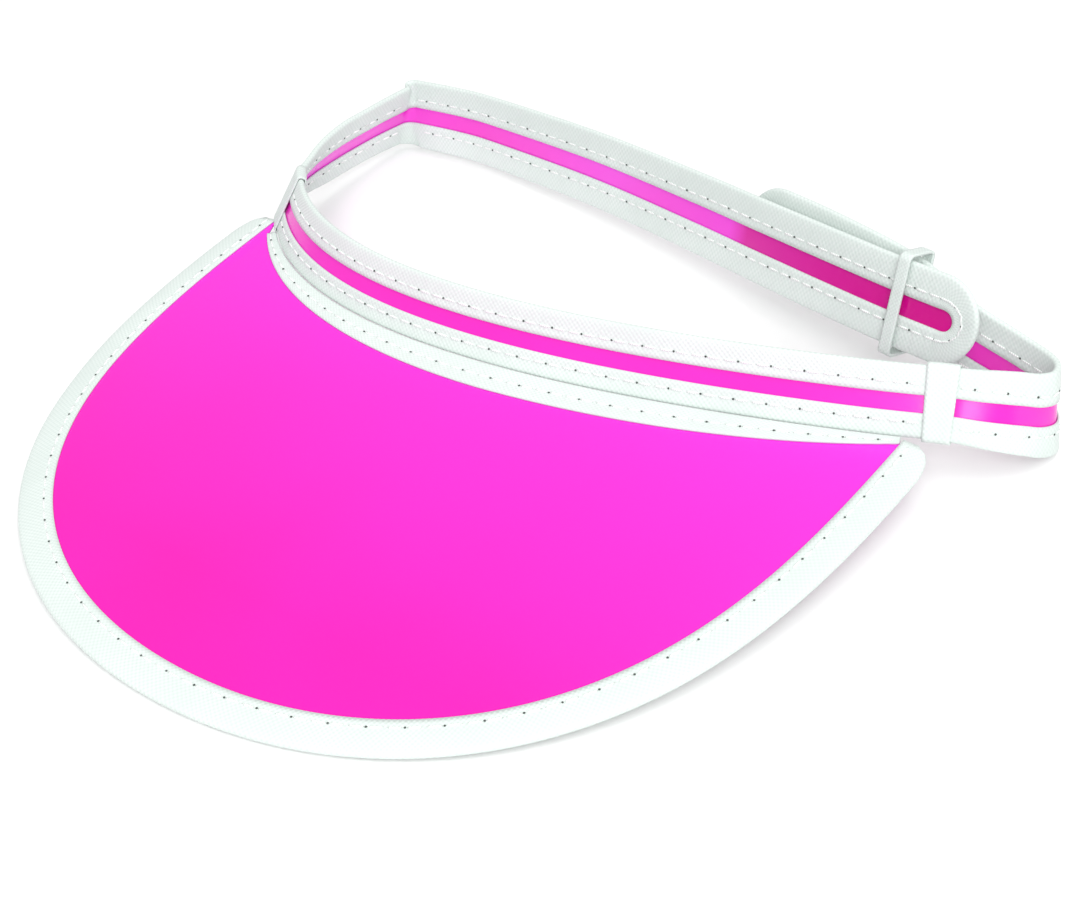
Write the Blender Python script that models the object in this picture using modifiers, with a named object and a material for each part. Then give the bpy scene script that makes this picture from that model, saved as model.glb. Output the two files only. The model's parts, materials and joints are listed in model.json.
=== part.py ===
"""Sun visor: a tinted PVC peak sewn to a PVC head band, all edges bound with folded white tape.

The head band is one long ribbon. It starts at the left join, runs round the forehead, passes the right
join, bends back and ends behind the head. A second ribbon leaves the left join, folds at the back left
and runs across the back of the head to a rounded tab. A keeper loop holds the two ends together.

Metres, +Z up. X points to the wearer's left as the visor is looked at from the front, -Y is the front.
Until the last step, z = 0 is the centre line of the clear stripe round the forehead.
"""

from math import cos, degrees, pi, radians, sin, sqrt

import bmesh
import bpy
import numpy as np
from mathutils import Vector

# Head band round the forehead
BAND_HALF_WIDTH = 0.1031      # half the ellipse's width from side to side
BAND_DEPTH = 0.0466           # half its depth from front to back
BAND_REACH = radians(67.4)    # angle from the middle of the forehead to the right join
BAND_LEFT_REACH = radians(60.0)   # and to the band's own end at the left join
BAND_SKEW = 0.15              # how far the soft band lies askew, per metre of width
BAND_LEAN = radians(-30.0)    # the band's upper edge leans in over the head
STRIPE_WIDTH = 0.0039         # clear PVC left showing between the two tapes
UPPER_TAPE_WIDTH = 0.0065
LOWER_TAPE_WIDTH = 0.0055

# Straps
STRAP_WIDTH = 0.0210
STRAP_STRIPE_WIDTH = 0.0050
STRAP_TAPER = 0.030           # length over which the band widens into a strap

# Sheet and tape
PVC_THICKNESS = 0.0005
PEAK_THICKNESS = 0.0006
TAPE_THICKNESS = 0.0004
TAPE_GAP = 0.0003             # between a sheet and the tape folded round its edge
EDGE_GAP = 0.00035            # between a sheet's edge and the middle of the tape's fold
THREAD_WIDTH = 0.0005
THREAD_THICKNESS = 0.0003
THREAD_GAP = 0.0003

# Peak
PEAK_WIDTH_SHARE = 0.8836     # half width of the clear sheet that shows, as a share of the band's
PEAK_FRONT = 0.1411           # from the joins forward to the binding
PEAK_SWAY = 0.0029            # the soft peak's front lies this far to the right
PEAK_SIDE_POWER = 2.06        # squareness of the outline: 2 is an ellipse
PEAK_FRONT_POWER = 3.24
PEAK_SLOPE = 0.070            # fall per metre towards the front
PEAK_CURL = 0.0010            # further drop across the binding
PEAK_BINDING_WIDTH = 0.0080
PEAK_LEFT_END = 0.0068        # how far in front of the left join the binding ends
PEAK_RIGHT_END = 0.0094       # and in front of the right join
SEAM_LEFT_REACH = radians(54.0)
SEAM_RIGHT_REACH = radians(58.5)
SEAM_BINDING_MIDDLE = 0.0083  # width of the seam binding at the forehead
SEAM_BINDING_END = 0.0024     # and at its ends
SEAM_OFFSET = 0.0022          # from the band's lower fold to the seam binding's fold

# Cross tapes, hinges and keeper
CROSS_TAPE_WIDTH = 0.0066
LEFT_GAP = 0.0018             # twice the free length between the left cross tape and the side strap
JOIN_GAP = 0.0005             # between front band and outer strap, under the right cross tape
CREASE_GAP = 0.0013           # from the crease's axis to each strap's end
KEEPER_WIDTH = 0.0030
KEEPER_CLEARANCE = 0.0006
KEEPER_THICKNESS = 0.0007
WRAP_CHAMFER = 0.0008         # at the corners of a tape wrapped round a strap

# Seams: distance of each row of thread from the tape's free edge
BAND_UPPER_SEAM = 0.0023
BAND_LOWER_SEAM = 0.0021
PEAK_EDGE_SEAM = 0.0020
STRAP_SEAM = 0.0024

# Points where each soft strap is led, from the end of the band it leaves: x, y, z of the stripe's centre
# and the lean in degrees
OUTER_STRAP = [
    (0.0042, 0.0014, 0.0000, -30),
    (0.0081, 0.0033, -0.0004, -27),
    (0.0116, 0.0058, -0.0011, -23),
    (0.0147, 0.0092, -0.0024, -17),
    (0.0172, 0.0134, -0.0043, -10),
    (0.0179, 0.0182, -0.0056, -5),
    (0.0146, 0.0230, -0.0060, 0),
    (0.0048, 0.0262, -0.0056, 3),
    (-0.0092, 0.0270, -0.0024, 9),
    (-0.0237, 0.0280, 0.0034, 16),
    (-0.0482, 0.0328, 0.0048, 16),
    (-0.0742, 0.0388, 0.0036, 16),
]
LEFT_STRAP = [
    (-0.0009, 0.0014, 0.0000, -30),
    (-0.0028, 0.0058, -0.0004, -30),
    (-0.0051, 0.0122, -0.0009, -29),
    (-0.0067, 0.0182, -0.0014, -28),
    (-0.0082, 0.0272, -0.0022, -24),
    (-0.0092, 0.0362, -0.0031, -19),
    (-0.0098, 0.0462, -0.0040, -12),
    (-0.0101, 0.0572, -0.0052, -6),
]
CREASE_FROM_LEFT = (-0.0101, 0.0576, -0.0052)
HINGE_FROM_LEFT = (-0.0005, 0.0009, 0.0000)
KEEPER_FROM_RIGHT = (-0.0237, 0.0236, 0.0048)

# The rear strap runs from the crease to the keeper and beyond: share of that way, bow and lean
REAR_STRAP = [
    (0.000, 0.0004, 0),
    (0.105, 0.0041, 2),
    (0.190, 0.0055, 4),
    (0.408, 0.0063, 8),
    (0.620, 0.0044, 12),
    (0.740, 0.0028, 14),
    (0.889, 0.0010, 16),
    (1.000, 0.0000, 16),
    (1.124, -0.0002, 16),
]

FRONT_STATIONS = 32
OUTER_STATIONS = 26
LEFT_STATIONS = 10
REAR_STATIONS = 18
PEAK_STATIONS = 32
BAND_POINTS = 25
ROUND_END_STEPS = 8
SAMPLES_PER_SPAN = 12
OUTLINE_SAMPLES = 2001
SEAM_SAMPLES = 121
FOLD_ROUNDNESS = 0.9          # how far a tape's fold bulges, as a share of its radius

FOLD_RADIUS = PVC_THICKNESS / 2 + TAPE_GAP + TAPE_THICKNESS / 2
FOLD_DEPTH = FOLD_RADIUS + TAPE_THICKNESS / 2
PEAK_FOLD_RADIUS = PEAK_THICKNESS / 2 + TAPE_GAP + TAPE_THICKNESS / 2
UPPER_EDGE = STRIPE_WIDTH / 2 + UPPER_TAPE_WIDTH
LOWER_EDGE = STRIPE_WIDTH / 2 + LOWER_TAPE_WIDTH
THREAD_LIFT = FOLD_DEPTH + THREAD_GAP + THREAD_THICKNESS / 2


# ---------------------------------------------------------------- curves and ribbons

def smooth_path(points):
    """Points along a Catmull-Rom curve through the given ones, with every column carried along."""
    knots = np.array(points, float)
    ends = np.vstack([2 * knots[0] - knots[1], knots, 2 * knots[-1] - knots[-2]])
    path = []
    for i in range(len(knots) - 1):
        before, start, end, after = ends[i:i + 4]
        for t in np.arange(SAMPLES_PER_SPAN) / SAMPLES_PER_SPAN:
            path.append(0.5 * (2 * start + (end - before) * t
                               + (2 * before - 5 * start + 4 * end - after) * t * t
                               + (3 * start - before - 3 * end + after) * t ** 3))
    path.append(knots[-1])
    return np.array(path)


class Ribbon:
    """A strap's middle surface: s runs along it, v up its width and n out from its face."""

    def __init__(self, points, right_is_out):
        path = smooth_path(points)
        self.centre = path[:, :3]
        steps = np.linalg.norm(np.diff(self.centre, axis=0), axis=1)
        self.s = np.concatenate([[0.0], np.cumsum(steps)])
        self.length = self.s[-1]
        heading = np.gradient(self.centre[:, :2], self.s, axis=0)
        heading /= np.linalg.norm(heading, axis=1)[:, None]
        side = 1 if right_is_out else -1
        out = np.stack([side * heading[:, 1], -side * heading[:, 0], 0 * self.s], axis=1)
        lean = np.radians(path[:, 3])[:, None]
        up = np.array([0.0, 0.0, 1.0])
        self.across = up * np.cos(lean) + out * np.sin(lean)
        self.out = out * np.cos(lean) - up * np.sin(lean)

    def read(self, table, s):
        return np.array([np.interp(s, self.s, table[:, axis]) for axis in range(3)])

    def at(self, s, v, n):
        return self.read(self.centre, s) + v * self.read(self.across, s) + n * self.read(self.out, s)

    def s_at_x(self, x, start):
        """Distance along the ribbon where it next crosses x, looking from start on."""
        later = self.s >= start
        return float(self.s[later][np.argmin(np.abs(self.centre[later][:, 0] - x))])


def band_plan(t):
    """Centre line of the stripe round the forehead, seen from above."""
    x = BAND_HALF_WIDTH * sin(t)
    y = -BAND_DEPTH * (cos(t) - cos(BAND_REACH)) + BAND_SKEW * x * (1 - (t / BAND_REACH) ** 2)
    return np.array([x, y])


def band_outward(t):
    step = 1e-4
    heading = band_plan(t + step) - band_plan(t - step)
    heading /= np.linalg.norm(heading)
    return np.array([heading[1], -heading[0]])


def left_end():
    return np.array([*band_plan(-BAND_LEFT_REACH), 0.0])


def right_join():
    return np.array([*band_plan(BAND_REACH), 0.0])


def led_from(place, points):
    """Points given from a place, with their lean unchanged."""
    return [(*(place + point[:3]), point[3]) for point in np.array(points)]


def head_points():
    lean = degrees(BAND_LEAN)
    angles = np.linspace(-BAND_LEFT_REACH, BAND_REACH, BAND_POINTS)
    front = [(*band_plan(t), 0.0, lean) for t in angles]
    return front + led_from(right_join(), OUTER_STRAP)


def rear_points(crease, keeper):
    bow_way = np.array([0.0, 1.0, 0.0])
    return [(*(crease + (keeper - crease) * share + bow_way * bow), lean)
            for share, bow, lean in REAR_STRAP]


def strap_edge(start, distance):
    """Half width of a strap that leaves a join with the given half width."""
    share = min(max(distance / STRAP_TAPER, 0.0), 1.0)
    share = share * share * (3 - 2 * share)
    return start + (STRAP_WIDTH / 2 - start) * share


def strap_stripe(distance):
    share = min(max(distance / STRAP_TAPER, 0.0), 1.0)
    return (STRIPE_WIDTH + (STRAP_STRIPE_WIDTH - STRIPE_WIDTH) * share) / 2


# ---------------------------------------------------------------- peak surface

def resample(points, count):
    steps = np.linalg.norm(np.diff(points, axis=0), axis=1)
    s = np.concatenate([[0.0], np.cumsum(steps)])
    at = np.linspace(0, s[-1], count)
    return np.stack([np.interp(at, s, points[:, axis]) for axis in range(2)], axis=1)


def peak_outline():
    """Outer edge of the clear sheet that shows, from the left join round the front to the right one."""
    angles = np.linspace(pi, 0.0, OUTLINE_SAMPLES)
    across = np.sign(np.cos(angles)) * np.abs(np.cos(angles)) ** (2 / PEAK_SIDE_POWER)
    forward = np.abs(np.sin(angles)) ** (2 / PEAK_FRONT_POWER)
    x = BAND_HALF_WIDTH * PEAK_WIDTH_SHARE * across + PEAK_SWAY * forward
    y = -PEAK_FRONT * forward
    left = left_end()[1] - PEAK_LEFT_END
    keep = ((across < 0) & (y < left)) | ((across >= 0) & (y < -PEAK_RIGHT_END))
    return resample(np.stack([x[keep], y[keep]], axis=1), PEAK_STATIONS + 1)


def seam_line():
    """Fold of the seam binding, which lies just outside the band's lower edge."""
    offset = (LOWER_EDGE - FOLD_DEPTH) * sin(-BAND_LEAN) + SEAM_OFFSET
    angles = np.linspace(-SEAM_LEFT_REACH, SEAM_RIGHT_REACH, SEAM_SAMPLES)
    points = np.array([band_plan(t) + band_outward(t) * offset for t in angles])
    return resample(points, PEAK_STATIONS + 1)


def outward(line):
    """Unit normals to the right of a line seen from above."""
    heading = np.gradient(line, axis=0)
    heading /= np.linalg.norm(heading, axis=1)[:, None]
    return np.stack([heading[:, 1], -heading[:, 0]], axis=1)


class Peak:
    """The peak's middle surface: a row of stations, each running from the seam out to the edge."""

    def __init__(self):
        self.edge = peak_outline()
        self.seam = seam_line()
        self.edge_out = outward(self.edge)
        self.seam_out = outward(self.seam)
        self.seam_height = -LOWER_EDGE * cos(BAND_LEAN)

    def seam_y(self, x):
        return float(np.interp(x, self.seam[:, 0], self.seam[:, 1]))

    def height(self, x, y, beyond):
        curl = PEAK_CURL * (max(beyond, 0.0) / PEAK_BINDING_WIDTH) ** 2
        return self.seam_height + PEAK_SLOPE * (y - self.seam_y(x)) - curl

    def from_edge(self, station, beyond, n):
        """A point the given distance beyond the clear sheet's edge."""
        x, y = self.edge[station] + self.edge_out[station] * beyond
        return np.array([x, y, self.height(x, y, beyond) + n])

    def from_seam(self, station, inward, n):
        """A point the given distance out from the seam binding's fold."""
        x, y = self.seam[station] + self.seam_out[station] * inward
        return np.array([x, y, self.height(x, y, 0.0) + n])

    def between(self, station, inward, share):
        """A point on the clear sheet, the given share of the way from the seam binding to the edge."""
        start = self.seam[station] + self.seam_out[station] * inward
        x, y = start + (self.edge[station] - start) * share
        return np.array([x, y, self.height(x, y, 0.0)])

    def seam_width(self, station):
        """Width of the seam binding, widest in the middle of the forehead."""
        share = 2 * station / PEAK_STATIONS - 1
        return SEAM_BINDING_END + (SEAM_BINDING_MIDDLE - SEAM_BINDING_END) * (1 - abs(share) ** 3)


# ---------------------------------------------------------------- sheets

def sheet_mesh(name, columns, rows, place, ring=False):
    """A grid of columns by rows, with each vertex put where place(column, row) says."""
    mesh = bpy.data.meshes.new(name)
    bm = bmesh.new()
    bmesh.ops.create_grid(bm, x_segments=columns, y_segments=rows, size=0.5)
    for vertex in bm.verts:
        column = round((vertex.co.x + 0.5) * columns)
        row = round((vertex.co.y + 0.5) * rows)
        vertex.co = place(column, row)
    if ring:
        bmesh.ops.remove_doubles(bm, verts=bm.verts, dist=1e-6)
    bm.to_mesh(mesh)
    bm.free()
    return mesh


def add_piece(name, mesh, thickness, material, holder):
    """Put a sheet in the model, moved so that its origin is its holder's, and give it its thickness."""
    for vertex in mesh.vertices:
        vertex.co -= holder["pivot"]
    piece = bpy.data.objects.new(name, mesh)
    bpy.data.collections["sun_visor"].objects.link(piece)
    piece.parent = holder["empty"]
    mesh.materials.append(material)
    solid = piece.modifiers.new("Thickness", "SOLIDIFY")
    solid.thickness = thickness
    solid.offset = 0.0
    solid.use_even_offset = True
    return piece


def fold_profile(leaf, radius):
    """Half section of a folded tape: distance in from the fold's middle, and height."""
    return [(leaf, radius), (leaf / 2, radius), (0.0, radius), (-FOLD_ROUNDNESS * radius, 0.0),
            (0.0, -radius), (leaf / 2, -radius), (leaf, -radius)]


def spaced(start, end, segments):
    return [start + (end - start) * i / segments for i in range(segments + 1)]


def add_strip(name, ribbon, stations, lower, upper, material, holder):
    """Clear PVC between two tapes; lower and upper give its edges at a distance along the ribbon."""
    def place(column, row):
        s = stations[column]
        return ribbon.at(s, lower(s) + (upper(s) - lower(s)) * row / 2, 0.0)

    mesh = sheet_mesh(name, len(stations) - 1, 2, place)
    return add_piece(name, mesh, PVC_THICKNESS, material, holder)


def add_edge_tape(name, ribbon, route, material, holder):
    """Tape folded over an edge. The route lists s, v, the way in (ds, dv) and the leaf's width."""
    def place(column, row):
        s, v, ds, dv, leaf = route[column]
        inward, n = fold_profile(leaf, FOLD_RADIUS)[row]
        return ribbon.at(s + ds * inward, v + dv * inward, n)

    mesh = sheet_mesh(name, len(route) - 1, 6, place)
    return add_piece(name, mesh, TAPE_THICKNESS, material, holder)


def add_thread(name, ribbon, route, seam, material, holder):
    """One row of thread on a tape's outer face, the given distance from the tape's free edge."""
    def place(column, row):
        s, v, ds, dv, leaf = route[column]
        inward = leaf - seam + (row - 0.5) * THREAD_WIDTH
        return ribbon.at(s + ds * inward, v + dv * inward, THREAD_LIFT)

    mesh = sheet_mesh(name, len(route) - 1, 1, place)
    return add_piece(name, mesh, THREAD_THICKNESS, material, holder)


def add_wrap(name, ribbon, start, end, box, thickness, material, holder):
    """A band wrapped round straps. The box gives the lowest and highest v and n of its middle surface."""
    low_v, high_v, low_n, high_n = box
    chamfer = min(WRAP_CHAMFER, (high_n - low_n) / 4)
    section = [(low_v + chamfer, low_n), (high_v - chamfer, low_n), (high_v, low_n + chamfer),
               (high_v, high_n - chamfer), (high_v - chamfer, high_n), (low_v + chamfer, high_n),
               (low_v, high_n - chamfer), (low_v, low_n + chamfer), (low_v + chamfer, low_n)]

    def place(column, row):
        v, n = section[row]
        return ribbon.at(start + (end - start) * column / 2, v, n)

    mesh = sheet_mesh(name, 2, len(section) - 1, place, ring=True)
    return add_piece(name, mesh, thickness, material, holder)


# ---------------------------------------------------------------- routes of the tapes

def straight_route(stations, edge, stripe, side):
    """Along one edge of a ribbon; side is 1 for the upper edge and -1 for the lower one."""
    return [(s, side * (edge(s) - FOLD_DEPTH), 0.0, -side, edge(s) - FOLD_DEPTH - stripe(s))
            for s in stations]


def looped_route(ribbon, stations, upper, lower, stripe):
    """Out along the upper edge, round the rounded end and back along the lower edge."""
    radius = STRAP_WIDTH / 2 - FOLD_DEPTH
    centre = ribbon.length - radius - FOLD_DEPTH
    leaf = STRAP_WIDTH / 2 - FOLD_DEPTH - STRAP_STRIPE_WIDTH / 2
    round_end = []
    for i in range(1, ROUND_END_STEPS):
        angle = pi / 2 - pi * i / ROUND_END_STEPS
        round_end.append((centre + radius * cos(angle), radius * sin(angle), -cos(angle), -sin(angle), leaf))
    return (straight_route(stations, upper, stripe, 1) + round_end
            + straight_route(stations[::-1], lower, stripe, -1))


def rounded_end(ribbon, stations, upper, lower):
    """Stations and edges of the PVC sheet inside a strap with a rounded end."""
    radius = STRAP_WIDTH / 2 - FOLD_DEPTH - EDGE_GAP
    centre = ribbon.length - STRAP_WIDTH / 2
    blunt = 0.1
    extra = [centre + radius * cos(angle) for angle in (pi * 3 / 8, pi / 4, pi / 8)]
    extra.append(centre + radius * sqrt(1 - blunt * blunt))

    def limit(s):
        return sqrt(max(radius ** 2 - max(s - centre, 0.0) ** 2, 0.0))

    def top(s):
        return min(upper(s) - FOLD_DEPTH - EDGE_GAP, limit(s))

    def bottom(s):
        return -min(lower(s) - FOLD_DEPTH - EDGE_GAP, limit(s))

    return list(stations) + extra, bottom, top


# ---------------------------------------------------------------- pieces

def add_peak(peak, colours, holder):
    fold = PEAK_BINDING_WIDTH - PEAK_FOLD_RADIUS - TAPE_THICKNESS / 2
    beyond = [0.0, fold / 2, fold - EDGE_GAP]
    inner_rows = 6

    def place_panel(column, row):
        if row >= inner_rows:
            return peak.from_edge(column, beyond[row - inner_rows], 0.0)
        leaf = peak.seam_width(column) - FOLD_DEPTH
        under_tape = (EDGE_GAP, leaf / 2, leaf)
        if row < len(under_tape):
            return peak.from_seam(column, under_tape[row], 0.0)
        return peak.between(column, leaf, (row - 2) / (inner_rows - 2))

    mesh = sheet_mesh("peak_panel", PEAK_STATIONS, inner_rows + 2, place_panel)
    add_piece("peak_panel", mesh, PEAK_THICKNESS, colours["pvc"], holder)

    def place_binding(column, row):
        inward, n = fold_profile(fold, PEAK_FOLD_RADIUS)[row]
        return peak.from_edge(column, fold - inward, n)

    mesh = sheet_mesh("peak_edge_binding", PEAK_STATIONS, 6, place_binding)
    add_piece("peak_edge_binding", mesh, TAPE_THICKNESS, colours["tape"], holder)

    def place_seam_binding(column, row):
        inward, n = fold_profile(peak.seam_width(column) - FOLD_DEPTH, PEAK_FOLD_RADIUS)[row]
        return peak.from_seam(column, inward, n)

    mesh = sheet_mesh("peak_seam_binding", PEAK_STATIONS, 6, place_seam_binding)
    add_piece("peak_seam_binding", mesh, TAPE_THICKNESS, colours["tape"], holder)

    lift = THREAD_LIFT - FOLD_RADIUS + PEAK_FOLD_RADIUS

    def place_edge_thread(column, row):
        return peak.from_edge(column, PEAK_EDGE_SEAM + (row - 0.5) * THREAD_WIDTH, lift)

    mesh = sheet_mesh("peak_edge_stitching", PEAK_STATIONS, 1, place_edge_thread)
    add_piece("peak_edge_stitching", mesh, THREAD_THICKNESS, colours["thread"], holder)

    def place_seam_thread(column, row):
        inward = (peak.seam_width(column) - FOLD_DEPTH) / 2 + (row - 0.5) * THREAD_WIDTH
        return peak.from_seam(column, inward, lift)

    mesh = sheet_mesh("peak_seam_stitching", PEAK_STATIONS, 1, place_seam_thread)
    add_piece("peak_seam_stitching", mesh, THREAD_THICKNESS, colours["thread"], holder)


def add_front_band(ribbon, join, colours, holder):
    stations = spaced(0.0, join - JOIN_GAP / 2, FRONT_STATIONS)
    upper = straight_route(stations, lambda s: UPPER_EDGE, lambda s: STRIPE_WIDTH / 2, 1)
    lower = straight_route(stations, lambda s: LOWER_EDGE, lambda s: STRIPE_WIDTH / 2, -1)
    add_strip("front_band_strip", ribbon, stations,
              lambda s: -(LOWER_EDGE - FOLD_DEPTH - EDGE_GAP),
              lambda s: UPPER_EDGE - FOLD_DEPTH - EDGE_GAP, colours["pvc"], holder)
    add_edge_tape("front_band_upper_tape", ribbon, upper, colours["tape"], holder)
    add_edge_tape("front_band_lower_tape", ribbon, lower, colours["tape"], holder)
    shown = [s for s in stations if CROSS_TAPE_WIDTH < s < join - CROSS_TAPE_WIDTH / 2 - TAPE_GAP]
    upper = straight_route(shown, lambda s: UPPER_EDGE, lambda s: STRIPE_WIDTH / 2, 1)
    lower = straight_route(shown, lambda s: LOWER_EDGE, lambda s: STRIPE_WIDTH / 2, -1)
    add_thread("front_band_upper_stitching", ribbon, upper, BAND_UPPER_SEAM, colours["thread"], holder)
    add_thread("front_band_lower_stitching", ribbon, lower, BAND_LOWER_SEAM, colours["thread"], holder)


def add_cross_tapes(ribbon, join, colours, holder):
    reach = TAPE_THICKNESS + TAPE_GAP
    outer = FOLD_RADIUS + reach
    box = (-LOWER_EDGE - reach, UPPER_EDGE + reach, -outer, outer)
    add_wrap("left_cross_tape", ribbon, 0.0, CROSS_TAPE_WIDTH, box, TAPE_THICKNESS, colours["tape"], holder)
    half = CROSS_TAPE_WIDTH / 2
    add_wrap("right_cross_tape", ribbon, join - half, join + half, box, TAPE_THICKNESS,
             colours["tape"], holder)


def strap_functions(start):
    """Upper edge, lower edge and half stripe of a strap that leaves a join at the given distance."""
    return (lambda s: strap_edge(UPPER_EDGE, s - start),
            lambda s: strap_edge(LOWER_EDGE, s - start),
            lambda s: strap_stripe(s - start))


def add_outer_strap(ribbon, join, colours, holder):
    start = join + JOIN_GAP / 2
    upper, lower, stripe = strap_functions(join)
    straight_end = ribbon.length - STRAP_WIDTH / 2
    stations = spaced(start, straight_end, OUTER_STATIONS)
    route = looped_route(ribbon, stations, upper, lower, stripe)
    edges = rounded_end(ribbon, stations, upper, lower)
    add_strip("right_outer_strip", ribbon, *edges, colours["pvc"], holder)
    add_edge_tape("right_outer_edge_tape", ribbon, route, colours["tape"], holder)
    shown = [s for s in stations if s > join + CROSS_TAPE_WIDTH / 2 + TAPE_GAP]
    route = looped_route(ribbon, shown, upper, lower, stripe)
    add_thread("right_outer_stitching", ribbon, route, STRAP_SEAM, colours["thread"], holder)


def add_left_side(ribbon, colours, holder):
    upper, lower, stripe = strap_functions(0.0)
    stations = spaced(LEFT_GAP / 2, ribbon.length - CREASE_GAP, LEFT_STATIONS)
    add_strip("left_side_strip", ribbon, stations,
              lambda s: -(lower(s) - FOLD_DEPTH - EDGE_GAP),
              lambda s: upper(s) - FOLD_DEPTH - EDGE_GAP, colours["pvc"], holder)
    for side, edge, label in ((1, upper, "upper"), (-1, lower, "lower")):
        route = straight_route(stations, edge, stripe, side)
        add_edge_tape(f"left_side_{label}_tape", ribbon, route, colours["tape"], holder)
        add_thread(f"left_side_{label}_stitching", ribbon, route, STRAP_SEAM, colours["thread"], holder)


def add_rear_inner(ribbon, colours, holder):
    def edge(s):
        return STRAP_WIDTH / 2

    def stripe(s):
        return STRAP_STRIPE_WIDTH / 2

    stations = spaced(CREASE_GAP, ribbon.length - STRAP_WIDTH / 2, REAR_STATIONS)
    route = looped_route(ribbon, stations, edge, edge, stripe)
    edges = rounded_end(ribbon, stations, edge, edge)
    add_strip("rear_inner_strip", ribbon, *edges, colours["pvc"], holder)
    add_edge_tape("rear_inner_edge_tape", ribbon, route, colours["tape"], holder)
    add_thread("rear_inner_stitching", ribbon, route, STRAP_SEAM, colours["thread"], holder)


def add_keeper(rear, head, join, keeper_x, colours, holder):
    """The loop round both straps, square to the rear strap."""
    s = rear.s_at_x(keeper_x, 0.0)
    start = s - KEEPER_WIDTH / 2
    end = s + KEEPER_WIDTH / 2
    half = STRAP_WIDTH / 2
    outer_s = head.s_at_x(keeper_x, join + STRAP_TAPER)
    low_v, high_v, low_n, high_n = -half, half, -FOLD_RADIUS, FOLD_RADIUS
    here = rear.at(s, 0.0, 0.0)
    for shift in (-KEEPER_WIDTH, 0.0, KEEPER_WIDTH):
        for v in (-half, half):
            gap = head.at(outer_s + shift, v, THREAD_LIFT) - here
            high_n = max(high_n, float(gap @ rear.read(rear.out, s)))
            low_v = min(low_v, float(gap @ rear.read(rear.across, s)))
            high_v = max(high_v, float(gap @ rear.read(rear.across, s)))
    reach = KEEPER_CLEARANCE + KEEPER_THICKNESS / 2
    box = (low_v - reach, high_v + reach, low_n - reach - TAPE_THICKNESS, high_n + reach)
    add_wrap("keeper_loop", rear, start, end, box, KEEPER_THICKNESS, colours["tape"], holder)


# ---------------------------------------------------------------- model

def finish(name, colour, roughness):
    material = bpy.data.materials.new(name)
    material.use_nodes = True
    shader = material.node_tree.nodes["Principled BSDF"]
    shader.inputs["Base Color"].default_value = (*colour, 1.0)
    shader.inputs["Roughness"].default_value = roughness
    shader.inputs["Metallic"].default_value = 0.0
    material.diffuse_color = (*colour, 1.0)
    return material


def add_holder(name, pivot, parent):
    """An empty on a joint's axis, for the pieces that move with it."""
    empty = bpy.data.objects.new(name, None)
    empty.empty_display_size = 0.01
    bpy.data.collections["sun_visor"].objects.link(empty)
    if parent is None:
        empty.location = pivot
    else:
        empty.parent = parent["empty"]
        empty.location = Vector(pivot) - parent["pivot"]
    return {"empty": empty, "pivot": Vector(pivot)}


def stand_at_origin(frame):
    """Move the whole model so that the middle of its box's bottom is the world's origin."""
    bpy.context.view_layer.update()
    depsgraph = bpy.context.evaluated_depsgraph_get()
    corners = []
    for piece in bpy.data.collections["sun_visor"].objects:
        if piece.type == "MESH":
            solid = piece.evaluated_get(depsgraph)
            corners += [solid.matrix_world @ vertex.co for vertex in solid.data.vertices]
    corners = np.array(corners)
    low = corners.min(axis=0)
    high = corners.max(axis=0)
    frame.location = (-(low[0] + high[0]) / 2, -(low[1] + high[1]) / 2, -low[2])
    bpy.context.view_layer.update()


def build():
    for item in list(bpy.data.objects):
        bpy.data.objects.remove(item, do_unlink=True)
    collection = bpy.data.collections.new("sun_visor")
    bpy.context.scene.collection.children.link(collection)
    colours = {
        "pvc": finish("tinted PVC sheet", (0.95, 0.02, 0.62), 0.15),
        "tape": finish("woven polyester tape", (0.92, 0.93, 0.92), 0.8),
        "thread": finish("polyester thread", (0.86, 0.87, 0.86), 0.7),
    }
    crease = left_end() + CREASE_FROM_LEFT
    keeper_place = right_join() + KEEPER_FROM_RIGHT
    head = Ribbon(head_points(), right_is_out=True)
    join = head.s_at_x(right_join()[0], 0.0)
    left = Ribbon(led_from(left_end(), LEFT_STRAP), right_is_out=False)
    rear = Ribbon(rear_points(crease, keeper_place), right_is_out=False)

    root = add_holder("visor_frame", (0.0, 0.0, 0.0), None)
    left_side = add_holder("left_hinge", left_end() + HINGE_FROM_LEFT, root)
    rear_inner = add_holder("crease_hinge", crease, left_side)
    keeper = add_holder("keeper_slide", keeper_place, root)

    add_peak(Peak(), colours, root)
    add_front_band(head, join, colours, root)
    add_cross_tapes(head, join, colours, root)
    add_outer_strap(head, join, colours, root)
    add_left_side(left, colours, left_side)
    add_rear_inner(rear, colours, rear_inner)
    add_keeper(rear, head, join, keeper_place[0], colours, keeper)
    stand_at_origin(root["empty"])


build()
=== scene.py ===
"""Sun visor: the sewn peak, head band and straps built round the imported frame."""

import json
from math import cos, degrees, exp, pi, radians, sin, sqrt

import bmesh
import bpy
import numpy as np
from bpy.props import FloatProperty, PointerProperty, StringProperty
from mathutils import Matrix, Vector


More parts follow.
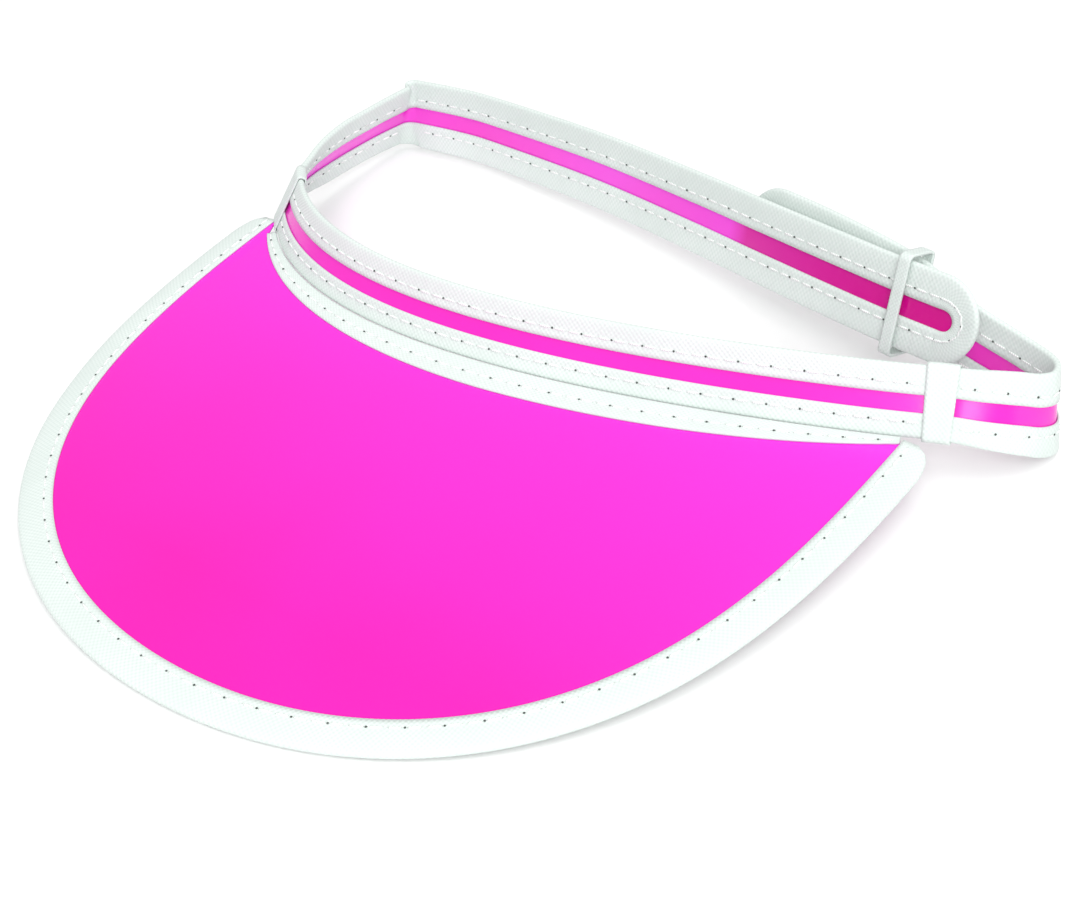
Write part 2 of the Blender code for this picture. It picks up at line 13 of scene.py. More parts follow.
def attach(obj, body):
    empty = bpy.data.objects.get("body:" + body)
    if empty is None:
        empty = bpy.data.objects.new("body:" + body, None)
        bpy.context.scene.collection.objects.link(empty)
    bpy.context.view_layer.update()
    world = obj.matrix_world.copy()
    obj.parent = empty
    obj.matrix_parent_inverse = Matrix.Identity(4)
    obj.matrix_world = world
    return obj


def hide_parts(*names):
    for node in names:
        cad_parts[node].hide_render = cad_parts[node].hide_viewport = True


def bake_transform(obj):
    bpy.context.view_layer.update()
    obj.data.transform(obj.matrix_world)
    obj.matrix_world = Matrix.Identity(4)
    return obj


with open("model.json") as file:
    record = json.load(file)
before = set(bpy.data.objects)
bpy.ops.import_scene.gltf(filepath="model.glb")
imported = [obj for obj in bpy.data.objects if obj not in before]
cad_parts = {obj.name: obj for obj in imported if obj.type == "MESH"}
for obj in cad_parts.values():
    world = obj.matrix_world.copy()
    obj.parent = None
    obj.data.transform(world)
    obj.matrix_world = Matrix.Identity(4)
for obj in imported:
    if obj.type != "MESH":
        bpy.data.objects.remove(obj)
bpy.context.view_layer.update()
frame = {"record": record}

bl_info = {
    "name": "Sun Visor Maker",
    "version": (1, 0, 0),
    "blender": (4, 5, 0),
    "location": "View3D > Sidebar > Visor",
    "description": "Makes a sewn sun visor with a tinted PVC peak, bound straps and a keeper loop",
    "category": "Object",
}

# Head band round the forehead, in metres; angles are measured from its front
BAND_HALF_WIDTH = 0.1031
BAND_DEPTH = 0.0466
BAND_REACH = radians(67.4)
BAND_LEFT_REACH = radians(60.0)
BAND_SKEW = 0.15
BAND_LEAN = radians(-30.0)
STRIPE_WIDTH = 0.0039
UPPER_EDGE = STRIPE_WIDTH / 2 + 0.0065
LOWER_EDGE = STRIPE_WIDTH / 2 + 0.0055
CROSS_TAPE_WIDTH = 0.0066

# Straps; the taper is how far a strap takes to widen from the band's width to its own
STRAP_WIDTH = 0.0210
STRAP_STRIPE_WIDTH = 0.0050
STRAP_TAPER = 0.030

# Peak: the oval's half width, reach, sway to the right and powers; its fall per metre and the curl of its
# edge; the width of its edge binding and the y where the oval stops at each end. The seam binding runs below
# the band, widest in the middle.
PEAK_HALF_WIDTH = 0.0911
PEAK_FRONT = 0.1411
PEAK_SWAY = 0.0029
PEAK_SIDE_POWER = 2.06
PEAK_FRONT_POWER = 3.24
PEAK_SLOPE = 0.070
PEAK_CURL = 0.0010
PEAK_BINDING_WIDTH = 0.0080
PEAK_LEFT_END = -0.0128
PEAK_RIGHT_END = -0.0076
PEAK_STATIONS = 260
SEAM_LEFT_REACH = radians(54.5)
SEAM_RIGHT_REACH = radians(59.0)
SEAM_BINDING_MIDDLE = 0.0086
SEAM_BINDING_END = 0.0024
SEAM_OFFSET = 0.0018
SEAM_LEFT_POWER = 1.6
SEAM_RIGHT_POWER = 3.0

# The peak's edge binding narrows over this length to this share of its width
TUCK_LENGTH = 0.009
TUCK_SHARE = 0.42

# Sheets and tapes: thickness, and the gap between a sheet's cut edge and the fold of its tape
PANEL_THICKNESS = 0.0006
STRIP_THICKNESS = 0.0005
TAPE_THICKNESS = 0.0004
KEEPER_THICKNESS = 0.0007
EDGE_GAP = 0.0003

# Middle surface of a sewn tape's leaf from the sheet's middle, and how deep and wide a stitch draws it in
FOLD_RADIUS = 0.00058
TAPE_SKIN = FOLD_RADIUS + TAPE_THICKNESS / 2
STITCH_PULL = 0.00016
STITCH_PULL_WIDTH = 0.0009
STITCH_LIFT = TAPE_SKIN - 0.00003
PEAK_EDGE_SEAM = 0.0020

# Stations along the straps: they are closer within CREASE_REACH of the crease, where the corner is rounded
# within CREASE_ROUND and the strap bends within BEND_REACH. The outer strap starts JOIN_GAP beyond the join.
STATION_STEP = 0.0011
REAR_STEP = 0.0012
CREASE_STEP = 0.0004
CREASE_REACH = 0.003
CREASE_ROUND = 0.0022
BEND_REACH = 0.004
JOIN_GAP = 0.0001

# Rows of quads in a tape's leaf and in its fold
LEAF_STEPS = 6
TURN_STEPS = 6
FOLD_ROWS = 2 * LEAF_STEPS + TURN_STEPS

# Keeper loop: its width, the rounding of its corners, its clearance round the two straps, and how far to
# each side of it the distance between them is read
KEEPER_WIDTH = 0.0030
KEEPER_CORNER = 0.0014
KEEPER_CLEARANCE = 0.0011
KEEPER_PLAY = 0.003

# Height of a stitch's bead and of the dark spot of painted shadow at a needle hole, as a share of its width,
# and the seed of their variation
THREAD_FLATNESS = 0.8
HOLE_FLATNESS = 0.5
STITCH_SEED = 7

# Points where each soft strap is led, from the end of the band it leaves: x, y, z of the stripe's centre
# and the lean in degrees
OUTER_STRAP = [
    (0.0042, 0.0014, 0.0000, -30),
    (0.0081, 0.0033, -0.0004, -27),
    (0.0116, 0.0058, -0.0011, -23),
    (0.0147, 0.0092, -0.0024, -17),
    (0.0172, 0.0134, -0.0043, -10),
    (0.0179, 0.0182, -0.0056, -5),
    (0.0146, 0.0230, -0.0060, 0),
    (0.0048, 0.0262, -0.0056, 3),
    (-0.0092, 0.0270, -0.0024, 9),
    (-0.0237, 0.0280, 0.0034, 16),
    (-0.0482, 0.0328, 0.0048, 16),
    (-0.0742, 0.0388, 0.0036, 16),
]
LEFT_STRAP = [
    (0.0004, -0.0002, 0.0000, -30),
    (-0.0009, 0.0014, 0.0000, -30),
    (-0.0028, 0.0058, -0.0004, -30),
    (-0.0051, 0.0122, -0.0009, -27),
    (-0.0067, 0.0182, -0.0014, -25),
    (-0.0082, 0.0272, -0.0022, -23),
    (-0.0092, 0.0362, -0.0031, -23),
    (-0.0098, 0.0462, -0.0040, -22),
    (-0.0101, 0.0572, -0.0052, -20),
]
# Places of the crease and the left hinge from the band's left end, and of the keeper from its right join
CREASE_FROM_LEFT = (-0.0101, 0.0576, -0.0052)
HINGE_FROM_LEFT = (-0.0005, 0.0009, 0.0000)
KEEPER_FROM_RIGHT = (-0.0237, 0.0236, 0.0048)

# The rear strap runs from the crease to the keeper and beyond: share of that way, bow and lean
REAR_STRAP = [
    (0.000, 0.0004, 0),
    (0.105, 0.0041, 2),
    (0.190, 0.0055, 4),
    (0.408, 0.0063, 8),
    (0.620, 0.0044, 12),
    (0.740, 0.0028, 14),
    (0.889, 0.0010, 16),
    (1.000, 0.0000, 16),
    (1.124, -0.0002, 16),
]


# ---------------------------------------------------------------- ribbons

def smooth_path(points, per_span=12):
    """Points along a Catmull-Rom curve through the given ones."""
    knots = np.array(points, float)
    ends = np.vstack([2 * knots[0] - knots[1], knots, 2 * knots[-1] - knots[-2]])
    path = []
    for i in range(len(knots) - 1):
        before, start, end, after = ends[i:i + 4]
        for t in np.arange(per_span) / per_span:
            path.append(0.5 * (2 * start + (end - before) * t
                               + (2 * before - 5 * start + 4 * end - after) * t * t
                               + (3 * start - before - 3 * end + after) * t ** 3))
    path.append(knots[-1])
    return np.array(path)


def lengths_along(points):
    """Distance travelled at each point of a line."""
    steps = np.linalg.norm(np.diff(points, axis=0), axis=1)
    return np.concatenate([[0.0], np.cumsum(steps)])


class Ribbon:
    """A strap's middle surface: s runs along it, v up its width and n out from its face."""

    def __init__(self, path, right_is_out):
        self.centre = path[:, :3] + SHIFT
        self.s = lengths_along(self.centre)
        self.length = self.s[-1]
        heading = np.gradient(self.centre[:, :2], self.s, axis=0)
        heading /= np.linalg.norm(heading, axis=1)[:, None]
        side = 1 if right_is_out else -1
        out = np.stack([side * heading[:, 1], -side * heading[:, 0], 0 * self.s], axis=1)
        lean = np.radians(path[:, 3])[:, None]
        up = np.array([0.0, 0.0, 1.0])
        self.across = up * np.cos(lean) + out * np.sin(lean)
        self.out = out * np.cos(lean) - up * np.sin(lean)

    def read(self, table, s):
        return np.array([np.interp(s, self.s, table[:, axis]) for axis in range(3)])

    def at(self, s, v, n):
        return self.read(self.centre, s) + v * self.read(self.across, s) + n * self.read(self.out, s)

    def s_near(self, place, start=0.0):
        """Where the ribbon's centre comes closest to a place, beyond start."""
        later = self.s >= start
        return float(self.s[later][np.argmin(np.linalg.norm(self.centre[later] - place, axis=1))])


def band_plan(t):
    """The band's centre line seen from above, at an angle from its front."""
    x = BAND_HALF_WIDTH * sin(t)
    y = -BAND_DEPTH * (cos(t) - cos(BAND_REACH)) + BAND_SKEW * x * (1 - (t / BAND_REACH) ** 2)
    return np.array([x, y])


LEFT_END = np.array([*band_plan(-BAND_LEFT_REACH), 0.0])
RIGHT_JOIN = np.array([*band_plan(BAND_REACH), 0.0])
CREASE = LEFT_END + CREASE_FROM_LEFT
KEEPER = RIGHT_JOIN + KEEPER_FROM_RIGHT

# The left hinge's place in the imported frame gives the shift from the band's own frame, in which z = 0 is
# the middle of the stripe round the forehead.
JOINTS = {joint["name"]: joint for joint in frame["record"]["behaviour"]["joints"]}
SHIFT = np.array(JOINTS["left_join_bend"]["pos_m"]) - LEFT_END - HINGE_FROM_LEFT


def led_from(place, points):
    """Points given from a place, moved to it."""
    return [(*(place + point[:3]), point[3]) for point in np.array(points)]


def head_ribbon():
    """The band round the forehead and the outer strap that carries on from it."""
    angles = np.linspace(-BAND_LEFT_REACH, BAND_REACH, 25)
    front = [(*band_plan(t), 0.0, degrees(BAND_LEAN)) for t in angles]
    return Ribbon(smooth_path(front + led_from(RIGHT_JOIN, OUTER_STRAP)), right_is_out=True)


def back_ribbon():
    """The left side run and the rear run as one strap, with a small round bend at the crease."""
    left = smooth_path(led_from(LEFT_END, LEFT_STRAP))
    rear = smooth_path([(*(CREASE + (KEEPER - CREASE) * share + np.array([0.0, bow, 0.0])), lean)
                        for share, bow, lean in REAR_STRAP])
    left = left[left[:, 1] < CREASE[1] - CREASE_ROUND]
    rear = rear[rear[:, 0] > CREASE[0] + CREASE_ROUND]
    corner = np.append(CREASE, (left[-1, 3] + rear[0, 3]) / 2)
    bend = [(1 - t) ** 2 * left[-1] + 2 * t * (1 - t) * corner + t * t * rear[0]
            for t in np.linspace(0.1, 0.9, 9)]
    return Ribbon(np.vstack([left, bend, rear]), right_is_out=False)


def widen(start, distance, end):
    """A width that eases from start to end over the strap's taper."""
    share = min(max(distance / STRAP_TAPER, 0.0), 1.0)
    return start + (end - start) * share * share * (3 - 2 * share)


# ---------------------------------------------------------------- peak surface

def resample(points, count):
    """A plan line as evenly spaced points."""
    s = lengths_along(points)
    at = np.linspace(0, s[-1], count)
    return np.stack([np.interp(at, s, points[:, axis]) for axis in range(2)], axis=1)


def outward(line):
    """Level unit normals on the right of a plan line."""
    heading = np.gradient(line, axis=0)
    heading /= np.linalg.norm(heading, axis=1)[:, None]
    return np.stack([heading[:, 1], -heading[:, 0]], axis=1)


class Peak:
    """The peak's middle surface: a row of stations, each running from the seam out to the edge."""

    def __init__(self):
        angles = np.linspace(pi, 0.0, 4001)
        across = np.sign(np.cos(angles)) * np.abs(np.cos(angles)) ** (2 / PEAK_SIDE_POWER)
        forward = np.abs(np.sin(angles)) ** (2 / PEAK_FRONT_POWER)
        x = PEAK_HALF_WIDTH * across + PEAK_SWAY * forward
        y = -PEAK_FRONT * forward
        keep = ((across < 0) & (y < PEAK_LEFT_END)) | ((across >= 0) & (y < PEAK_RIGHT_END))
        self.edge = resample(np.stack([x[keep], y[keep]], axis=1), PEAK_STATIONS + 1)
        offset = (LOWER_EDGE - TAPE_SKIN) * sin(-BAND_LEAN) + SEAM_OFFSET
        turns = np.linspace(-SEAM_LEFT_REACH, SEAM_RIGHT_REACH, 241)
        plan = np.array([band_plan(t) for t in turns])
        self.seam = resample(plan + outward(plan) * offset, PEAK_STATIONS + 1)
        self.edge_out = outward(self.edge)
        self.seam_out = outward(self.seam)
        self.edge_length = lengths_along(self.edge)
        self.seam_length = lengths_along(self.seam)
        self.seam_height = -LOWER_EDGE * cos(BAND_LEAN)

    def height(self, x, y, beyond):
        """The peak falls towards its front, and its outer edge curls down a little."""
        curl = PEAK_CURL * (max(beyond, 0.0) / PEAK_BINDING_WIDTH) ** 2
        seam_y = float(np.interp(x, self.seam[:, 0], self.seam[:, 1]))
        return self.seam_height + PEAK_SLOPE * (y - seam_y) - curl

    def point(self, line, beyond, n):
        x, y = line
        return np.array([x, y, self.height(x, y, beyond) + n]) + SHIFT

    def from_edge(self, station, beyond, n):
        """A place beyond the outer edge's inner line, n above the sheet's middle."""
        return self.point(self.edge[station] + self.edge_out[station] * beyond, beyond, n)

    def from_seam(self, station, inward, n):
        """A place in from the seam, n above the sheet's middle."""
        return self.point(self.seam[station] + self.seam_out[station] * inward, 0.0, n)

    def between(self, station, inward, share):
        """A share of the way from the seam binding's free edge to the outer edge."""
        start = self.seam[station] + self.seam_out[station] * inward
        return self.point(start + (self.edge[station] - start) * share, 0.0, 0.0)

    def edge_leaf(self, station):
        """The edge binding narrows at its ends, where it is tucked in under the band."""
        travelled = self.edge_length[station]
        along = min(travelled, self.edge_length[-1] - travelled) / TUCK_LENGTH
        wide = TUCK_SHARE + (1 - TUCK_SHARE) * sqrt(1 - (1 - min(along, 1.0)) ** 2)
        return (PEAK_BINDING_WIDTH - TAPE_SKIN) * wide

    def seam_leaf(self, station):
        """The seam binding is widest in the middle of the forehead."""
        share = 2 * station / PEAK_STATIONS - 1
        power = SEAM_LEFT_POWER if share < 0 else SEAM_RIGHT_POWER
        width = SEAM_BINDING_END + (SEAM_BINDING_MIDDLE - SEAM_BINDING_END) * (1 - abs(share) ** power)
        return width - TAPE_SKIN


# ---------------------------------------------------------------- meshes

def link(mesh, name, material):
    """A mesh as a named piece with one material."""
    piece = bpy.data.objects.new(name, mesh)
    bpy.context.scene.collection.objects.link(piece)
    mesh.materials.clear()
    mesh.materials.append(material)
    return piece


def grid_sheet(name, columns, rows, place, thickness, material, ring=False):
    """A curved sheet on a grid, given its thickness, with a UV map in metres along and across it."""
    points = np.array([[place(column, row) for row in range(rows + 1)] for column in range(columns + 1)])
    along = lengths_along(points[:, rows // 2])
    across = lengths_along(points[columns // 2])
    mesh = bpy.data.meshes.new(name)
    bm = bmesh.new()
    bmesh.ops.create_grid(bm, x_segments=columns, y_segments=rows, size=0.5)
    uv = bm.loops.layers.uv.new("Cloth")
    cells = {}
    for vertex in bm.verts:
        cell = (round((vertex.co.x + 0.5) * columns), round((vertex.co.y + 0.5) * rows))
        cells[vertex.index] = cell
        vertex.co = points[cell]
    for face in bm.faces:
        face.smooth = True
        for loop in face.loops:
            column, row = cells[loop.vert.index]
            loop[uv].uv = (along[column], across[row])
    if ring:
        bmesh.ops.remove_doubles(bm, verts=bm.verts, dist=1e-6)
    bm.to_mesh(mesh)
    bm.free()
    piece = link(mesh, name + "_sheet", material)
    solid = piece.modifiers.new("Thickness", "SOLIDIFY")
    solid.thickness = thickness
    solid.offset = 0.0
    return settle(piece, name, material)


def settle(piece, name, material):
    """The evaluated piece as a plain mesh under its own name."""
    depsgraph = bpy.context.evaluated_depsgraph_get()
    mesh = bpy.data.meshes.new_from_object(piece.evaluated_get(depsgraph))
    mesh.name = name
    bpy.data.objects.remove(piece, do_unlink=True)
    return link(mesh, name, material)


def fold_profile(leaf):
    """Section of a folded tape, from one free edge round the fold to the other: inward and n."""
    profile = [(leaf * (1 - i / LEAF_STEPS), FOLD_RADIUS) for i in range(LEAF_STEPS)]
    for i in range(TURN_STEPS + 1):
        angle = pi / 2 - pi * i / TURN_STEPS
        profile.append((-FOLD_RADIUS * cos(angle), FOLD_RADIUS * sin(angle)))
    profile += [(leaf * (i + 1) / LEAF_STEPS, -FOLD_RADIUS) for i in range(LEAF_STEPS)]
    return profile


def sewn_leaf(row, along, leaf, seam):
    """A row of the folded tape, drawn in along its stitches, and less so between them."""
    inward, n = fold_profile(leaf)[row]
    if inward <= 0:
        return inward, n
    pitch = bpy.context.scene.visor_stitching.pitch
    near = exp(-((inward - (leaf - seam)) / STITCH_PULL_WIDTH) ** 2)
    dimple = STITCH_PULL * near * (0.55 + 0.45 * cos(2 * pi * along / pitch))
    return inward, n - dimple * (1 if n > 0 else -1)


def spaced(start, end, step):
    """Evenly spaced distances from start to end, about a step apart."""
    count = max(2, round((end - start) / step))
    return [start + (end - start) * i / count for i in range(count + 1)]


# ---------------------------------------------------------------- routes of the tapes

# A route is a list of places along a tape's fold: s and v on the ribbon, the way in from the fold in s and
# in v, and the leaf's length there.

def straight_route(stations, edge, stripe, side):
    """Along one edge of a ribbon; side is 1 for the upper edge and -1 for the lower one."""
    return [(s, side * (edge(s) - TAPE_SKIN), 0.0, -side, edge(s) - TAPE_SKIN - stripe(s))
            for s in stations]


def looped_route(ribbon, stations, upper, lower, stripe):
    """Out along the upper edge, round the rounded end and back along the lower edge."""
    radius = STRAP_WIDTH / 2 - TAPE_SKIN
    centre = ribbon.length - STRAP_WIDTH / 2
    leaf = radius - STRAP_STRIPE_WIDTH / 2
    shortened = 0.0016
    turns = 28
    round_end = []
    for i in range(1, turns):
        angle = pi / 2 - pi * i / turns
        out, up = cos(angle), sin(angle)
        round_end.append((centre + radius * out, radius * up, -out, -up, leaf - shortened * out ** 2))
    return (straight_route(stations, upper, stripe, 1) + round_end
            + straight_route(stations[::-1], lower, stripe, -1))


def edge_tape(name, ribbon, route, seam):
    """Tape folded over a ribbon's edge along a route."""
    travelled = route_lengths(route)

    def place(column, row):
        s, v, ds, dv, leaf = route[column]
        inward, n = sewn_leaf(row, travelled[column], leaf, seam)
        return ribbon.at(s + ds * inward, v + dv * inward, n)

    return grid_sheet(name, len(route) - 1, FOLD_ROWS, place, TAPE_THICKNESS, materials()["tape"])


def route_lengths(route):
    return lengths_along(np.array([(s, v) for s, v, *_ in route]))


def pvc_strip(name, ribbon, stations, lower, upper, material):
    """The clear strip between two edges of a ribbon."""
    rows = 6

    def place(column, row):
        s = stations[column]
        return ribbon.at(s, lower(s) + (upper(s) - lower(s)) * row / rows, 0.0)

    return grid_sheet(name, len(stations) - 1, rows, place, STRIP_THICKNESS, material)


def rounded_end(ribbon, stations, upper, lower):
    """Stations and edges of a strap's strip, cut round at the strap's far end, where it keeps a little
    width at its tip."""
    radius = STRAP_WIDTH / 2 - TAPE_SKIN - EDGE_GAP
    centre = ribbon.length - STRAP_WIDTH / 2
    steps = 8
    tip = 0.995
    extra = [centre + radius * sin(pi / 2 * i / steps) for i in range(1, steps)]
    extra.append(centre + radius * tip)

    def limit(s):
        return sqrt(max(radius ** 2 - max(s - centre, 0.0) ** 2, 0.0))

    def top(s):
        return min(upper(s) - TAPE_SKIN - EDGE_GAP, limit(s))

    def bottom(s):
        return -min(lower(s) - TAPE_SKIN - EDGE_GAP, limit(s))

    return list(stations) + extra, bottom, top


def seam_row(ribbon, route, seam, step, start):
    """Places along a route, on both faces of the strap: point, heading and face normal of each."""
    travelled = route_lengths(route)
    columns = np.array(route).T
    look_ahead = 0.0004
    stitches = []
    for at in np.arange(start, travelled[-1] - step / 2, step):
        s, v, ds, dv, leaf = (float(np.interp(at, travelled, column)) for column in columns)
        here = (s + ds * (leaf - seam), v + dv * (leaf - seam))
        ahead = [float(np.interp(at + look_ahead, travelled, column)) for column in columns]
        there = (ahead[0] + ahead[2] * (ahead[4] - seam), ahead[1] + ahead[3] * (ahead[4] - seam))
        normal = ribbon.read(ribbon.out, here[0])
        for face in (1, -1):
            lift = face * STITCH_LIFT
            point = ribbon.at(*here, lift)
            stitches.append((point, ribbon.at(*there, lift) - point, normal * face))
    return stitches


def seam_rows(ribbon, route, seam):
    """The stitches of a seam and the places of the painted needle-hole shadows that show, which are at every
    second stitch.
    """
    pitch = bpy.context.scene.visor_stitching.pitch
    return (seam_row(ribbon, route, seam, pitch, pitch / 2),
            seam_row(ribbon, route, seam, 2 * pitch, pitch))


# ---------------------------------------------------------------- stitches by geometry nodes

def add_node(tree, kind, inputs=None, **settings):
    """One node with its settings; an input that is given a socket is linked to it."""
    node = tree.nodes.new(kind)
    for key, value in settings.items():
        setattr(node, key, value)
    for key, value in (inputs or {}).items():
        socket = node.inputs[key]
        if isinstance(value, bpy.types.NodeSocket):
            tree.links.new(value, socket)
        else:
            socket.default_value = value
    return node


def stitch_tree():
    """Rounded beads of thread set on points, each turned along its seam and away from the cloth."""
    if "Stitches" in bpy.data.node_groups:
        return bpy.data.node_groups["Stitches"]
    tree = bpy.data.node_groups.new("Stitches", "GeometryNodeTree")
    face = tree.interface
    face.new_socket("Geometry", in_out="INPUT", socket_type="NodeSocketGeometry")
    for name in ("Length", "Width", "Height"):
        face.new_socket(name, in_out="INPUT", socket_type="NodeSocketFloat")
    face.new_socket("Seed", in_out="INPUT", socket_type="NodeSocketInt")
    face.new_socket("Material", in_out="INPUT", socket_type="NodeSocketMaterial")
    face.new_socket("Geometry", in_out="OUTPUT", socket_type="NodeSocketGeometry")
    given = add_node(tree, "NodeGroupInput").outputs
    bead = add_node(tree, "GeometryNodeMeshUVSphere", {"Segments": 8, "Rings": 5, "Radius": 0.5})
    size = add_node(tree, "ShaderNodeCombineXYZ", {0: given["Length"], 1: given["Width"],
                                                   2: given["Height"]})
    bead = add_node(tree, "GeometryNodeTransform", {"Geometry": bead.outputs["Mesh"],
                                                    "Scale": size.outputs[0]})
    along = add_node(tree, "GeometryNodeInputNamedAttribute", {"Name": "along"},
                     data_type="FLOAT_VECTOR")
    away = add_node(tree, "GeometryNodeInputNamedAttribute", {"Name": "away"}, data_type="FLOAT_VECTOR")
    first = add_node(tree, "FunctionNodeAlignRotationToVector", {"Vector": along.outputs[0]}, axis="X")
    turned = add_node(tree, "FunctionNodeAlignRotationToVector",
                      {"Rotation": first.outputs[0], "Vector": away.outputs[0]},
                      axis="Z", pivot_axis="X")
    spread = add_node(tree, "FunctionNodeRandomValue", {"Min": (0.9, 0.9, 0.9), "Max": (1.08, 1.1, 1.1),
                                                        "Seed": given["Seed"]},
                      data_type="FLOAT_VECTOR")
    beads = add_node(tree, "GeometryNodeInstanceOnPoints",
                     {"Points": given["Geometry"], "Instance": bead.outputs[0],
                      "Rotation": turned.outputs[0], "Scale": spread.outputs[0]})
    whole = add_node(tree, "GeometryNodeRealizeInstances", {"Geometry": beads.outputs[0]})
    dyed = add_node(tree, "GeometryNodeSetMaterial", {"Geometry": whole.outputs[0],
                                                      "Material": given["Material"]})
    add_node(tree, "NodeGroupOutput", {"Geometry": dyed.outputs[0]})
    return tree


def thread_row(name, stitches, length, width, height, material):
    """A seam's stitches as one plain mesh."""
    mesh = bpy.data.meshes.new(name)
    mesh.from_pydata([tuple(point) for point, _, _ in stitches], [], [])
    for key, index in (("along", 1), ("away", 2)):
        values = mesh.attributes.new(key, "FLOAT_VECTOR", "POINT")
        values.data.foreach_set("vector", np.array([s[index] for s in stitches], float).ravel())
    piece = link(mesh, name + "_points", material)
    modifier = piece.modifiers.new("Stitches", "NODES")
    tree = stitch_tree()
    modifier.node_group = tree
    inputs = {item.name: item.identifier for item in tree.interface.items_tree if item.in_out == "INPUT"}
    for key, value in (("Length", length), ("Width", width), ("Height", height), ("Seed", STITCH_SEED),
                       ("Material", material)):
        modifier[inputs[key]] = value
    piece.update_tag()
    bpy.context.view_layer.update()
    done = settle(piece, name, material)
    done.data.shade_smooth()
    return done


def add_seam(name, stitches, hole_shadows):
    """The thread of a seam and the dark spots of painted shadow where its needle went through."""
    settings = bpy.context.scene.visor_stitching
    length = settings.pitch * settings.cover
    thread = thread_row(name, stitches, length, settings.thread, settings.thread * THREAD_FLATNESS,
                        materials()["thread"])
    hole = settings.hole
    # Dark spots of painted shadow at the needle-hole places
    hole_shadow_spots = thread_row(name + "_holes", hole_shadows, hole, hole, hole * HOLE_FLATNESS, materials()["hole"])
    return thread, hole_shadow_spots


# ---------------------------------------------------------------- materials

def linear(colour):
    """An sRGB hex value as linear red, green, blue and alpha."""
    values = [int(colour[i:i + 2], 16) / 255 for i in (0, 2, 4)]
    return [v / 12.92 if v <= 0.04045 else ((v + 0.055) / 1.055) ** 2.4 for v in values] + [1.0]


def per_metre(millimetres):
    """The scale at which a texture in metres repeats once in this many millimetres."""
    return 1000.0 / millimetres


def new_material(name):
    """A material with its node tree and its shader."""
    material = bpy.data.materials.new(name)
    material.use_nodes = True
    tree = material.node_tree
    return material, tree, tree.nodes["Principled BSDF"]


def clear_pvc(name, deep, light, painted_light=None, doubled_shade=None, doubled_from=0.0):
    """Calendered PVC sheet: tinted right through, glossy, with a faint roll from lying flat. Given a colour
    for the rear, it turns to it towards the band, a painted light; given a colour for two layers, it takes
    it as a painted shade where a second strap lies behind it, to the right of the given x."""
    painted_light_front, painted_light_rear = -0.07, 0.05
    doubled_edge, doubled_reach = 0.003, 0.060
    material, tree, shader = new_material(name)
    place = add_node(tree, "ShaderNodeTexCoord").outputs["Object"]
    roll = add_node(tree, "ShaderNodeTexNoise", {"Vector": place, "Scale": per_metre(71.43),
                                                 "Detail": 2.0})
    grain = add_node(tree, "ShaderNodeTexNoise", {"Vector": place, "Scale": per_metre(1.1111),
                                                  "Detail": 2.0})
    axes = add_node(tree, "ShaderNodeSeparateXYZ", {0: place})
    tint = add_node(tree, "ShaderNodeMixRGB", {0: roll.outputs[0], 1: linear(deep), 2: linear(light)})
    # Painted light: the peak turns lighter towards the band, from y = -0.07 to 0.05
    if painted_light:
        rear = add_node(tree, "ShaderNodeMapRange", {"Value": axes.outputs[1], "From Min": painted_light_front,
                                                     "From Max": painted_light_rear, "To Max": 0.85})
        tint = add_node(tree, "ShaderNodeMixRGB", {0: rear.outputs[0], 1: tint.outputs[0],
                                                   2: linear(painted_light)})
    # Painted shade: darker where light passes through the outer strap lying behind
    if doubled_shade:
        behind = add_node(tree, "ShaderNodeMapRange", {"Value": axes.outputs[0],
                                                       "From Min": doubled_from - doubled_edge,
                                                       "From Max": doubled_from + doubled_edge})
        deeper = add_node(tree, "ShaderNodeMapRange", {"Value": axes.outputs[0], "From Min": doubled_from,
                                                       "From Max": doubled_from + doubled_reach,
                                                       "To Min": 0.75})
        share = add_node(tree, "ShaderNodeMath", {0: behind.outputs[0], 1: deeper.outputs[0]},
                         operation="MULTIPLY")
        tint = add_node(tree, "ShaderNodeMixRGB", {0: share.outputs[0], 1: tint.outputs[0],
                                                   2: linear(doubled_shade)})
    tree.links.new(tint.outputs[0], shader.inputs["Base Color"])
    level = add_node(tree, "ShaderNodeMapRange", {"Value": grain.outputs[0], "To Min": 0.16,
                                                  "To Max": 0.24})
    tree.links.new(level.outputs[0], shader.inputs["Roughness"])
    wave = add_node(tree, "ShaderNodeBump", {"Strength": 0.25, "Distance": 0.0008,
                                             "Height": roll.outputs[0]})
    fine = add_node(tree, "ShaderNodeBump", {"Strength": 0.08, "Distance": 0.00004,
                                             "Height": grain.outputs[0], "Normal": wave.outputs[0]})
    tree.links.new(fine.outputs[0], shader.inputs["Normal"])
    shader.inputs["IOR"].default_value = 1.53
    shader.inputs["Transmission Weight"].default_value = 0.10
    return material


